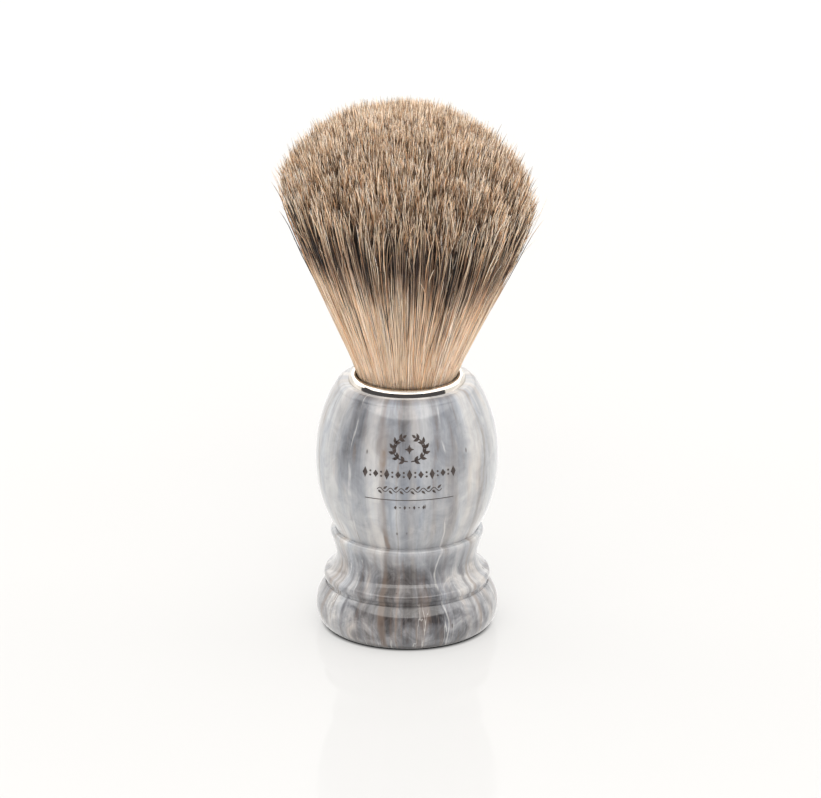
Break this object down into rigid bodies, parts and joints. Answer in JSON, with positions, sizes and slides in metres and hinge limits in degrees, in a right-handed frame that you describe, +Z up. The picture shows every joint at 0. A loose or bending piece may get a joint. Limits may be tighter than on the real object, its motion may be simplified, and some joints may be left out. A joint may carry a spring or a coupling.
{
  "type": "shaving brush",
  "caption": "Shaving brush with a turned, stone-marbled resin handle, a polished collar ring and a fan-shaped knot of hair that springs back when bent.",
  "frame": {"origin": "centre of the flat base that the brush stands on", "axes": "+Z up along the turning axis, from the base to the hair's tips; +X to the right and +Y away, seen from the front, which carries the printed ornament"},
  "size_m": [0.0505, 0.0506, 0.1081],
  "materials": {
    "marbled_resin": "polished cast resin, blue-grey with white veins and brown streaks",
    "polished_metal": "polished nickel",
    "cup_plastic": "moulded plastic, hidden",
    "knot_resin": "cast resin, hidden",
    "cord": "waxed cord, hidden",
    "adhesive": "set glue, hidden",
    "root_hair": "cream hair roots",
    "tuft_hair": "badger hair with a dark band and light tips"
  },
  "bodies": {
    "handle_body": {"handle": "marbled_resin", "collar_ring": "polished_metal", "knot_cup": "cup_plastic", "knot_plug": "knot_resin", "binding_cord": "cord", "adhesive_bed": "adhesive", "hair_root": "root_hair"},
    "tuft_body": {"hair_tuft": "tuft_hair"}
  },
  "joints": [
    {"name": "knot_bend", "type": "hinge", "parent": "handle_body", "child": "tuft_body", "pos_m": [0, 0, 0.0522], "axis": [0, 1, 0], "range_deg": [-30, 30], "stiffness_Nm_per_rad": 0.14}
  ]
}
